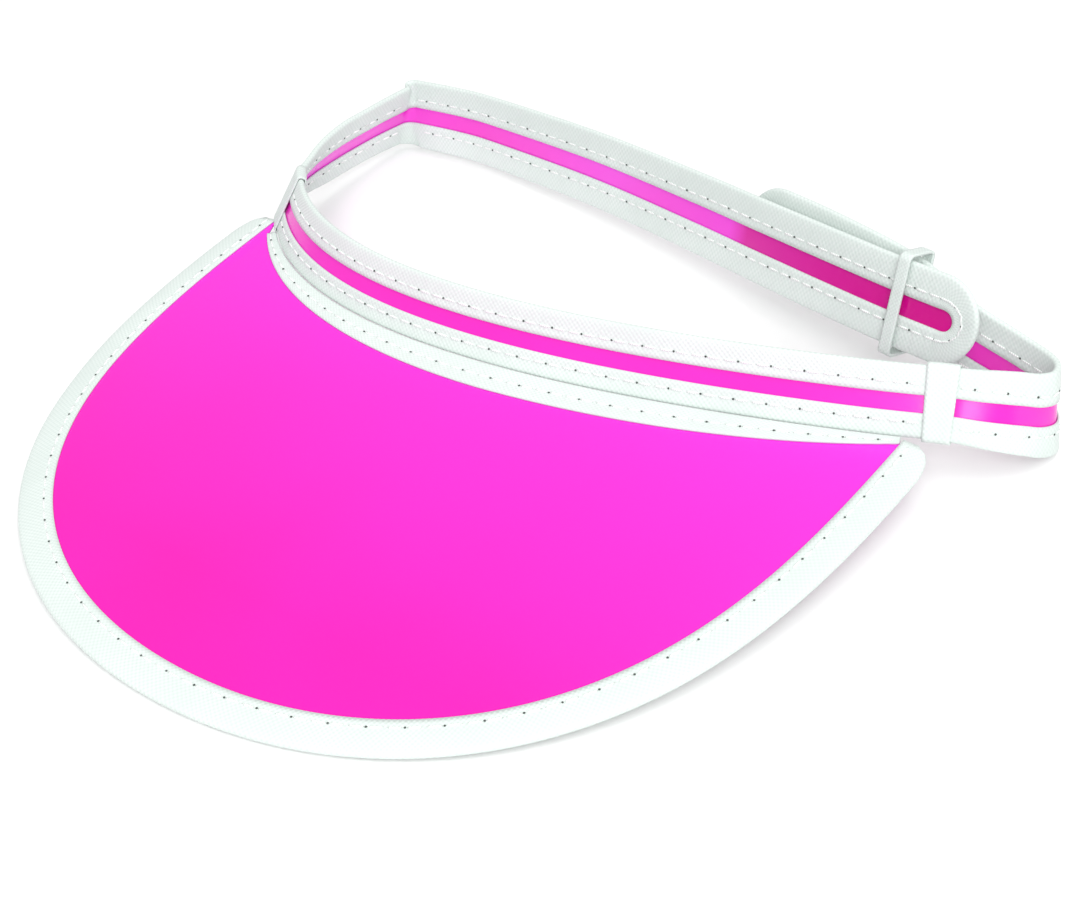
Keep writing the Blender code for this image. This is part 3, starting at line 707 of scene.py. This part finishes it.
def woven_tape(name, colour, shade, thread_mm):
    """Plain-woven polyester binding: matt, with a fine check of threads whose small shades are painted into
    its colour, darker still at random where soil noise is low. Real threads are about 0.3 mm apart; these
    are drawn wider, so that they show."""
    material, tree, shader = new_material(name)
    cloth = add_node(tree, "ShaderNodeUVMap", uv_map="Cloth").outputs[0]
    axes = add_node(tree, "ShaderNodeSeparateXYZ", {0: cloth})
    turns = pi * per_metre(thread_mm)
    waves = []
    for axis in (0, 1):
        angle = add_node(tree, "ShaderNodeMath", {0: axes.outputs[axis], 1: turns}, operation="MULTIPLY")
        waves.append(add_node(tree, "ShaderNodeMath", {0: angle.outputs[0]}, operation="SINE"))
    weave = add_node(tree, "ShaderNodeMath", {0: waves[0].outputs[0], 1: waves[1].outputs[0]},
                     operation="MULTIPLY")
    level = add_node(tree, "ShaderNodeMapRange", {"Value": weave.outputs[0], "From Min": -1.0,
                                                  "From Max": 1.0})
    place = add_node(tree, "ShaderNodeTexCoord").outputs["Object"]
    fuzz = add_node(tree, "ShaderNodeTexNoise", {"Vector": place, "Scale": per_metre(0.625),
                                                 "Detail": 3.0})
    soil = add_node(tree, "ShaderNodeTexNoise", {"Vector": place, "Scale": per_metre(16.667),
                                                 "Detail": 3.0})
    mixed = add_node(tree, "ShaderNodeMath", {0: level.outputs[0], 1: soil.outputs[0]},
                     operation="MULTIPLY")
    # Painted shade between the threads, darker still where the soil noise is low
    tint = add_node(tree, "ShaderNodeMixRGB", {0: mixed.outputs[0], 1: linear(shade), 2: linear(colour)})
    tree.links.new(tint.outputs[0], shader.inputs["Base Color"])
    ribs = add_node(tree, "ShaderNodeBump", {"Strength": 0.6, "Distance": 0.00012,
                                             "Height": level.outputs[0]})
    hairs = add_node(tree, "ShaderNodeBump", {"Strength": 0.3, "Distance": 0.00005,
                                              "Height": fuzz.outputs[0], "Normal": ribs.outputs[0]})
    tree.links.new(hairs.outputs[0], shader.inputs["Normal"])
    shader.inputs["Roughness"].default_value = 0.85
    shader.inputs["Sheen Weight"].default_value = 0.15
    return material


def twisted_thread(name, colour, shade):
    """Spun polyester thread: soft, with painted shade in the grooves of its twist, in bands across each
    stitch.
    A wave texture of scale 1 repeats every pi / 10."""
    twist_mm = 0.5236
    wave_length = pi / 10
    material, tree, shader = new_material(name)
    place = add_node(tree, "ShaderNodeTexCoord").outputs["Object"]
    twist = add_node(tree, "ShaderNodeTexWave", {"Vector": place,
                                                 "Scale": wave_length * per_metre(twist_mm),
                                                 "Distortion": 1.5})
    # Painted shade: the white thread darker in the grooves of its twist
    tint = add_node(tree, "ShaderNodeMixRGB", {0: twist.outputs[1], 1: linear(shade), 2: linear(colour)})
    tree.links.new(tint.outputs[0], shader.inputs["Base Color"])
    bump = add_node(tree, "ShaderNodeBump", {"Strength": 0.4, "Distance": 0.00006,
                                             "Height": twist.outputs[1]})
    tree.links.new(bump.outputs[0], shader.inputs["Normal"])
    shader.inputs["Roughness"].default_value = 0.6
    return material


def painted_hole_shadow(name, colour, shade):
    """Painted shadow: the dark inside of a hole that a needle has made, drawn as a dark spot."""
    material, tree, shader = new_material(name)
    place = add_node(tree, "ShaderNodeTexCoord").outputs["Object"]
    spots = add_node(tree, "ShaderNodeTexNoise", {"Vector": place, "Scale": per_metre(8.333)})
    tint = add_node(tree, "ShaderNodeMixRGB", {0: spots.outputs[0], 1: linear(shade), 2: linear(colour)})
    tree.links.new(tint.outputs[0], shader.inputs["Base Color"])
    shader.inputs["Roughness"].default_value = 0.95
    shader.inputs["Specular IOR Level"].default_value = 0.1
    return material


FINISHES = {}


def materials():
    """The finishes by name, made from the colour settings when first asked for."""
    if not FINISHES:
        colours = bpy.context.scene.visor_colours
        outer_end = RIGHT_JOIN[0] + OUTER_STRAP[-1][0] + SHIFT[0]
        # The peak, with painted light towards the band
        FINISHES["peak"] = clear_pvc("Clear pink PVC sheet with painted light", colours.peak_deep, colours.peak_light,
                                     painted_light=colours.peak_painted_light)
        FINISHES["strip"] = clear_pvc("Clear pink PVC strip", colours.strip_deep, colours.strip_light)
        # The rear strip: a lighter copy of the strip, painted light, and darker where the outer strap lies
        # behind it, painted shade
        FINISHES["rear"] = clear_pvc("Clear pink PVC rear strip with painted light and shade", colours.strip_deep, colours.rear_painted_light,
                                     doubled_shade=colours.strip_doubled, doubled_from=outer_end)
        # Tapes with painted shade between their threads
        FINISHES["tape"] = woven_tape("Woven polyester tape", colours.tape, colours.tape_painted_shade_and_soil, 0.6)
        FINISHES["keeper"] = woven_tape("Woven keeper tape", colours.tape, colours.tape_painted_shade_and_soil, 0.5)
        # White thread with painted shade in its twist
        FINISHES["thread"] = twisted_thread("Spun polyester thread", "FFFFFF", "D9DEDB")
        # Painted shadow: the dark spots at the needle-hole places
        FINISHES["hole"] = painted_hole_shadow("Painted needle hole shadow", "6E7470", "3C403E")
    return FINISHES


# ---------------------------------------------------------------- settings

class VisorStitching(bpy.types.PropertyGroup):
    pitch: FloatProperty(name="Pitch", description="Distance from stitch to stitch",
                         default=0.0037, unit="LENGTH")
    cover: FloatProperty(name="Cover", description="Share of the pitch that shows as thread",
                         default=0.90, subtype="FACTOR")
    thread: FloatProperty(name="Thread", description="Width of the thread",
                          default=0.00055, unit="LENGTH")
    # Width of the dark spot of painted shadow at a needle hole
    hole: FloatProperty(name="Hole", description="Width of a needle hole",
                        default=0.00055, unit="LENGTH")
    upper_seam: FloatProperty(name="Upper seam", description="From the upper tape's free edge to its thread",
                              default=0.0023, unit="LENGTH")
    lower_seam: FloatProperty(name="Lower seam", description="From the lower tape's free edge to its thread",
                              default=0.0021, unit="LENGTH")
    strap_seam: FloatProperty(name="Strap seam", description="From a strap tape's free edge to its thread",
                              default=0.0024, unit="LENGTH")


class VisorColours(bpy.types.PropertyGroup):
    peak_deep: StringProperty(name="Peak, deep", description="sRGB hex of the peak where it is deepest",
                              default="FF0CB0")
    peak_light: StringProperty(name="Peak, light", description="sRGB hex of the peak where it is lightest",
                               default="FF18C8")
    # Painted light: the peak's lighter colour beside the band
    peak_painted_light: StringProperty(name="Peak, rear", description="sRGB hex of the peak beside the band",
                              default="FF38F0")
    strip_deep: StringProperty(name="Strip, deep", description="sRGB hex of the strips where deepest",
                               default="FA18B8")
    strip_light: StringProperty(name="Strip, light", description="sRGB hex of the strips where lightest",
                                default="FF3CE0")
    # Painted light: the rear strip is drawn in a lighter pink than the other strips
    rear_painted_light: StringProperty(name="Rear strip, light",
                               description="sRGB hex of the rear strip where lightest",
                               default="FF58FF")
    # Painted shade: the rear strip's colour where the outer strap lies behind it
    strip_doubled: StringProperty(name="Strip, doubled",
                                  description="sRGB hex where two strips lie together",
                                  default="DC0090")
    tape: StringProperty(name="Tape", description="sRGB hex of the tape", default="EDF4F1")
    # The painted shade between the tape's threads, also its colour where soil noise is low
    tape_painted_shade_and_soil: StringProperty(name="Tape shade", description="sRGB hex between the tape's threads",
                               default="D3DED9")


# ---------------------------------------------------------------- pieces

def peak_panel(peak):
    """The clear sheet, from inside the seam binding's fold to inside the edge binding's."""
    seam_rows_end, clear_rows_end, rows = 2, 24, 30

    def place(column, row):
        leaf = peak.seam_leaf(column)
        if row <= seam_rows_end:
            return peak.from_seam(column, EDGE_GAP + (leaf - EDGE_GAP) * row / seam_rows_end, 0.0)
        if row <= clear_rows_end:
            share = (row - seam_rows_end) / (clear_rows_end - seam_rows_end)
            return peak.between(column, leaf, share)
        hidden = peak.edge_leaf(column) - EDGE_GAP
        return peak.from_edge(column, hidden * (row - clear_rows_end) / (rows - clear_rows_end), 0.0)

    return grid_sheet("peak_sheet", PEAK_STATIONS, rows, place, PANEL_THICKNESS, materials()["peak"])


def peak_tapes(peak):
    """The tape folded over the peak's outer edge, and the one folded over its seam edge."""
    def edge_place(column, row):
        leaf = peak.edge_leaf(column)
        inward, n = sewn_leaf(row, peak.edge_length[column], leaf, PEAK_EDGE_SEAM)
        return peak.from_edge(column, leaf - inward, n)

    def seam_place(column, row):
        leaf = peak.seam_leaf(column)
        inward, n = sewn_leaf(row, peak.seam_length[column], leaf, leaf / 2)
        return peak.from_seam(column, inward, n)

    return [grid_sheet(name, PEAK_STATIONS, FOLD_ROWS, place, TAPE_THICKNESS, materials()["tape"])
            for name, place in (("peak_edge_tape", edge_place), ("peak_seam_tape", seam_place))]


def peak_row(lengths, place, step, start):
    """Places along one of the peak's seams, on both faces: point, heading and face normal of each."""
    stitches = []
    for at in np.arange(start, lengths[-1] - step / 2, step):
        column = float(np.interp(at, lengths, np.arange(len(lengths))))
        low = min(int(column), PEAK_STATIONS - 1)
        for face in (1, -1):
            behind = place(low, face * STITCH_LIFT)
            ahead = place(low + 1, face * STITCH_LIFT)
            point = behind + (ahead - behind) * (column - low)
            stitches.append((point, ahead - behind, np.array([0.0, 0.0, face])))
    return stitches


class VISOR_OT_peak(bpy.types.Operator):
    """Make the clear peak and the tapes folded over its edges"""
    bl_idname = "visor.peak"
    bl_label = "Peak"

    def execute(self, context):
        peak = Peak()
        panel = peak_panel(peak)
        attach(panel, "visor")
        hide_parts("peak_panel")
        for piece, node in zip(peak_tapes(peak), ("peak_edge_binding", "peak_seam_binding")):
            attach(piece, "visor")
            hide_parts(node)

        pitch = context.scene.visor_stitching.pitch
        seams = (("peak_edge_thread", "peak_edge_stitching", peak.edge_length,
                  lambda column, n: peak.from_edge(column, PEAK_EDGE_SEAM, n)),
                 ("peak_seam_thread", "peak_seam_stitching", peak.seam_length,
                  lambda column, n: peak.from_seam(column, peak.seam_leaf(column) / 2, n)))
        for name, node, lengths, place in seams:
            thread, hole_shadows = add_seam(name, peak_row(lengths, place, pitch, pitch / 2),
                                     peak_row(lengths, place, 2 * pitch, pitch))
            for piece in (thread, hole_shadows):
                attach(piece, "visor")
            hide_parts(node)
        return {"FINISHED"}


def band_edges(side):
    """The band's edge and its stripe's edge on one side, as functions of the way along it."""
    edge = UPPER_EDGE if side > 0 else LOWER_EDGE
    return (lambda s: edge), (lambda s: STRIPE_WIDTH / 2)


class VISOR_OT_front_band(bpy.types.Operator):
    """Make the clear strip round the forehead, its two tapes and the cross tapes at its ends"""
    bl_idname = "visor.front_band"
    bl_label = "Front band"

    def execute(self, context):
        ribbon = head_ribbon()
        join = ribbon.s_near(RIGHT_JOIN + SHIFT)
        settings = context.scene.visor_stitching
        inset = 0.0006
        stations = spaced(0.0, join, STATION_STEP)
        strip = pvc_strip("front_strip", ribbon, stations, lambda s: inset - LOWER_EDGE,
                          lambda s: UPPER_EDGE - inset, materials()["strip"])
        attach(strip, "visor")
        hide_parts("front_band_strip")
        for side, label, seam in ((1, "upper", settings.upper_seam), (-1, "lower", settings.lower_seam)):
            edge, stripe = band_edges(side)
            route = straight_route(stations, edge, stripe, side)
            tape = edge_tape(f"front_{label}_tape", ribbon, route, seam)
            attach(tape, "visor")
            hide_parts(f"front_band_{label}_tape")
            shown = [step for step in route
                     if CROSS_TAPE_WIDTH < step[0] < join - CROSS_TAPE_WIDTH / 2]
            thread, hole_shadows = add_seam(f"front_{label}_thread", *seam_rows(ribbon, shown, seam))
            for piece in (thread, hole_shadows):
                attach(piece, "visor")
            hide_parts(f"front_band_{label}_stitching")
        half = CROSS_TAPE_WIDTH / 2
        for label, start in (("left", 0.0), ("right", join - half)):
            wrap = cross_tape(f"{label}_wrap", ribbon, start, start + CROSS_TAPE_WIDTH)
            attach(wrap, "visor")
            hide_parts(f"{label}_cross_tape")
        return {"FINISHED"}


def rounded_box(low_v, high_v, low_n, high_n, radius, steps=5):
    """Outline of a rounded rectangle, closed."""
    outline = []
    corners = ((high_v, high_n, 0), (high_v, low_n, 1), (low_v, low_n, 2), (low_v, high_n, 3))
    for v, n, quarter in corners:
        centre_v = v - radius * (1 if v == high_v else -1)
        centre_n = n - radius * (1 if n == high_n else -1)
        for i in range(steps + 1):
            angle = pi / 2 - (quarter + i / steps) * pi / 2
            outline.append((centre_v + radius * cos(angle), centre_n + radius * sin(angle)))
    outline.append(outline[0])
    return outline


def fine_outline(outline, step=0.0008):
    """The outline with points added along its long sides, still closed."""
    fine = []
    for (v0, n0), (v1, n1) in zip(outline[:-1], outline[1:]):
        count = max(1, round(sqrt((v1 - v0) ** 2 + (n1 - n0) ** 2) / step))
        fine += [(v0 + (v1 - v0) * i / count, n0 + (n1 - n0) * i / count) for i in range(count)]
    return fine + [fine[0]]


def cross_tape(name, ribbon, start, end):
    """Tape wrapped round the join, its long edges pressed down a little."""
    depth = TAPE_SKIN + TAPE_THICKNESS
    over = 0.0005
    corner = 0.0009
    outline = fine_outline(rounded_box(-LOWER_EDGE - over, UPPER_EDGE + over, -depth, depth, corner))
    columns = 10

    def place(column, row):
        v, n = outline[row]
        press = (2 * column / columns - 1) ** 6
        s = start + (end - start) * column / columns
        return ribbon.at(s, v * (1 - 0.005 * press), n * (1 - 0.09 * press))

    return grid_sheet(name, columns, len(outline) - 1, place, TAPE_THICKNESS, materials()["tape"],
                      ring=True)


class VISOR_OT_outer_strap(bpy.types.Operator):
    """Make the strap that bends back from the right join and runs behind the rear strap"""
    bl_idname = "visor.outer_strap"
    bl_label = "Outer strap"

    def execute(self, context):
        ribbon = head_ribbon()
        join = ribbon.s_near(RIGHT_JOIN + SHIFT)
        seam = context.scene.visor_stitching.strap_seam
        upper = lambda s: widen(UPPER_EDGE, s - join, STRAP_WIDTH / 2)
        lower = lambda s: widen(LOWER_EDGE, s - join, STRAP_WIDTH / 2)
        stripe = lambda s: widen(STRIPE_WIDTH, s - join, STRAP_STRIPE_WIDTH) / 2
        stations = spaced(join + JOIN_GAP, ribbon.length - STRAP_WIDTH / 2, STATION_STEP)
        route = looped_route(ribbon, stations, upper, lower, stripe)
        strip = pvc_strip("outer_strip", ribbon, *rounded_end(ribbon, stations, upper, lower),
                          materials()["strip"])
        tape = edge_tape("outer_tape", ribbon, route, seam)
        shown = [step for step in route if step[0] > join + CROSS_TAPE_WIDTH / 2]
        thread, hole_shadows = add_seam("outer_thread", *seam_rows(ribbon, shown, seam))
        for piece, slot, node in ((strip, "strap_pvc", "right_outer_strip"),
                                  (tape, "binding_tape", "right_outer_edge_tape"),
                                  (thread, "sewing_thread", "right_outer_stitching"),
                                  (hole_shadows, "sewing_thread", None)):
            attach(piece, "visor")
            if node:
                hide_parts(node)
        return {"FINISHED"}


class VISOR_OT_back_strap(bpy.types.Operator):
    """Make the strap from the left join round the crease to its rounded tab"""
    bl_idname = "visor.back_strap"
    bl_label = "Back strap"

    def execute(self, context):
        ribbon = back_ribbon()
        seam = context.scene.visor_stitching.strap_seam
        upper = lambda s: widen(UPPER_EDGE, s, STRAP_WIDTH / 2)
        lower = lambda s: widen(LOWER_EDGE, s, STRAP_WIDTH / 2)
        stripe = lambda s: widen(STRIPE_WIDTH, s, STRAP_STRIPE_WIDTH) / 2
        crease = CREASE + SHIFT
        crease_s = ribbon.s_near(crease)
        end = ribbon.length - STRAP_WIDTH / 2
        stations = (spaced(0.0, crease_s - CREASE_REACH, STATION_STEP)[:-1]
                    + spaced(crease_s - CREASE_REACH, crease_s + CREASE_REACH, CREASE_STEP)[:-1]
                    + spaced(crease_s + CREASE_REACH, end, REAR_STEP))
        route = looped_route(ribbon, stations, upper, lower, stripe)
        strip = pvc_strip("back_strip", ribbon, *rounded_end(ribbon, stations, upper, lower),
                          materials()["rear"])
        tape = edge_tape("back_tape", ribbon, route, seam)
        hidden = 0.003
        shown = [step for step in route if step[0] > hidden]
        rows = [[place for place in row if np.linalg.norm((place[0] - crease)[:2]) > BEND_REACH]
                for row in seam_rows(ribbon, shown, seam)]
        thread, hole_shadows = add_seam("back_thread", *rows)
        replaced = {
            "back_strip": ("strap_pvc", ("left_side_strip", "rear_inner_strip")),
            "back_tape": ("binding_tape", ("left_side_upper_tape", "left_side_lower_tape",
                                           "rear_inner_edge_tape")),
            "back_thread": ("sewing_thread", ("left_side_upper_stitching", "left_side_lower_stitching",
                                              "rear_inner_stitching")),
            "back_thread_holes": ("sewing_thread", ()),
        }
        for piece in (strip, tape, thread, hole_shadows):
            slot, nodes = replaced[piece.name]
            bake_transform(piece)
            if nodes:
                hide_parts(*nodes)
        return {"FINISHED"}


class VISOR_OT_keeper(bpy.types.Operator):
    """Make the narrow loop that holds the two straps together"""
    bl_idname = "visor.keeper"
    bl_label = "Keeper loop"

    def execute(self, context):
        rear = back_ribbon()
        beyond_crease, beyond_bend = 0.1, 0.25
        s = rear.s_near(KEEPER + SHIFT, beyond_crease)
        head = head_ribbon()
        far = head.s_near(KEEPER + SHIFT, beyond_bend)
        here = rear.at(s, 0.0, 0.0)
        out = rear.read(rear.out, s)
        across = rear.read(rear.across, s)
        half = STRAP_WIDTH / 2
        gaps = [head.at(far + play, v, TAPE_SKIN) - here
                for v in (-half, half) for play in (-KEEPER_PLAY, KEEPER_PLAY)]
        low_v = min(-half, min(float(gap @ across) for gap in gaps)) - KEEPER_CLEARANCE
        high_v = max(half, max(float(gap @ across) for gap in gaps)) + KEEPER_CLEARANCE
        high_n = max(float(gap @ out) for gap in gaps) + KEEPER_CLEARANCE
        outline = fine_outline(rounded_box(low_v, high_v, -TAPE_SKIN - KEEPER_CLEARANCE, high_n,
                                           KEEPER_CORNER))
        columns = 8

        def place(column, row):
            v, n = outline[row]
            share = 2 * column / columns - 1
            return rear.at(s + KEEPER_WIDTH * share / 2, v, n * (1 - 0.03 * share ** 4))

        loop = grid_sheet("keeper_tape", columns, len(outline) - 1, place, KEEPER_THICKNESS,
                          materials()["keeper"], ring=True)
        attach(loop, "keeper")
        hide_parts("keeper_loop")
        return {"FINISHED"}


# ---------------------------------------------------------------- stage

class VISOR_OT_stage(bpy.types.Operator):
    """Make the pale floor, the soft lights and the camera"""
    bl_idname = "visor.stage"
    bl_label = "Stage"

    def execute(self, context):
        scene = context.scene
        drop = 0.0002
        bpy.ops.mesh.primitive_plane_add(size=6.0, location=(0.0, 0.0, -drop))
        floor = context.object
        floor.name = "floor"
        material, _, shader = new_material("Matt white backdrop")
        shader.inputs["Base Color"].default_value = linear("FAFAFA")
        shader.inputs["Roughness"].default_value = 0.95
        shader.inputs["Specular IOR Level"].default_value = 0.1
        floor.data.materials.append(material)

        world = bpy.data.worlds.new("Soft white room")
        scene.world = world
        world.use_nodes = True
        world.node_tree.nodes["Background"].inputs["Color"].default_value = (1.0, 1.0, 1.0, 1.0)
        world.node_tree.nodes["Background"].inputs["Strength"].default_value = 0.42

        for name, place, size, power in (("softbox_above", (0.3, -0.1, 1.5), 2.4, 25.0),
                                         ("softbox_front", (0.9, -1.0, 0.9), 0.9, 13.0)):
            lamp = bpy.data.lights.new(name, "AREA")
            lamp.energy = power
            lamp.size = size
            holder = bpy.data.objects.new(name, lamp)
            scene.collection.objects.link(holder)
            holder.location = place
            holder.rotation_euler = (-Vector(place)).to_track_quat("-Z", "Y").to_euler()

        azimuth, elevation, roll = radians(41.3), radians(36.75), radians(-5.0)
        distance = 0.430
        target = Vector(SHIFT) + Vector((0.0326, -0.0596, 0.0))
        back = Vector((sin(azimuth) * cos(elevation), -cos(azimuth) * cos(elevation), sin(elevation)))
        right = (-back).cross(Vector((0, 0, 1))).normalized()
        up = right.cross(-back)
        rolled_right = right * cos(roll) + up * sin(roll)
        rolled_up = up * cos(roll) - right * sin(roll)
        turn = Matrix((rolled_right, rolled_up, back)).transposed().to_4x4()
        camera = bpy.data.cameras.new("camera")
        camera.sensor_width = 36.0
        camera.lens = 67.9
        camera.shift_x = 0.0037
        camera.shift_y = -0.005
        camera.clip_start = 0.02
        holder = bpy.data.objects.new("camera", camera)
        scene.collection.objects.link(holder)
        holder.matrix_world = Matrix.Translation(target + back * distance) @ turn
        scene.camera = holder
        scene.view_settings.view_transform = "Standard"
        return {"FINISHED"}


class VISOR_PT_panel(bpy.types.Panel):
    """Sizes and colours of the visor, and a button for each group of pieces"""
    bl_idname = "VISOR_PT_panel"
    bl_label = "Sun visor"
    bl_space_type = "VIEW_3D"
    bl_region_type = "UI"
    bl_category = "Visor"

    def draw(self, context):
        for group in (context.scene.visor_stitching, context.scene.visor_colours):
            for key in group.__annotations__:
                self.layout.prop(group, key)
        for operator in OPERATORS:
            self.layout.operator(operator.bl_idname)


OPERATORS = (VISOR_OT_stage, VISOR_OT_peak, VISOR_OT_front_band, VISOR_OT_outer_strap,
             VISOR_OT_back_strap, VISOR_OT_keeper)
CLASSES = (VisorStitching, VisorColours) + OPERATORS + (VISOR_PT_panel,)


def register():
    for item in CLASSES:
        bpy.utils.register_class(item)
    bpy.types.Scene.visor_stitching = PointerProperty(type=VisorStitching)
    bpy.types.Scene.visor_colours = PointerProperty(type=VisorColours)


def unregister():
    del bpy.types.Scene.visor_stitching
    del bpy.types.Scene.visor_colours
    for item in reversed(CLASSES):
        bpy.utils.unregister_class(item)


def main():
    register()
    bpy.ops.visor.stage()
    bpy.ops.visor.peak()
    bpy.ops.visor.front_band()
    bpy.ops.visor.outer_strap()
    bpy.ops.visor.back_strap()
    bpy.ops.visor.keeper()


if __name__ == "__main__":
    main()
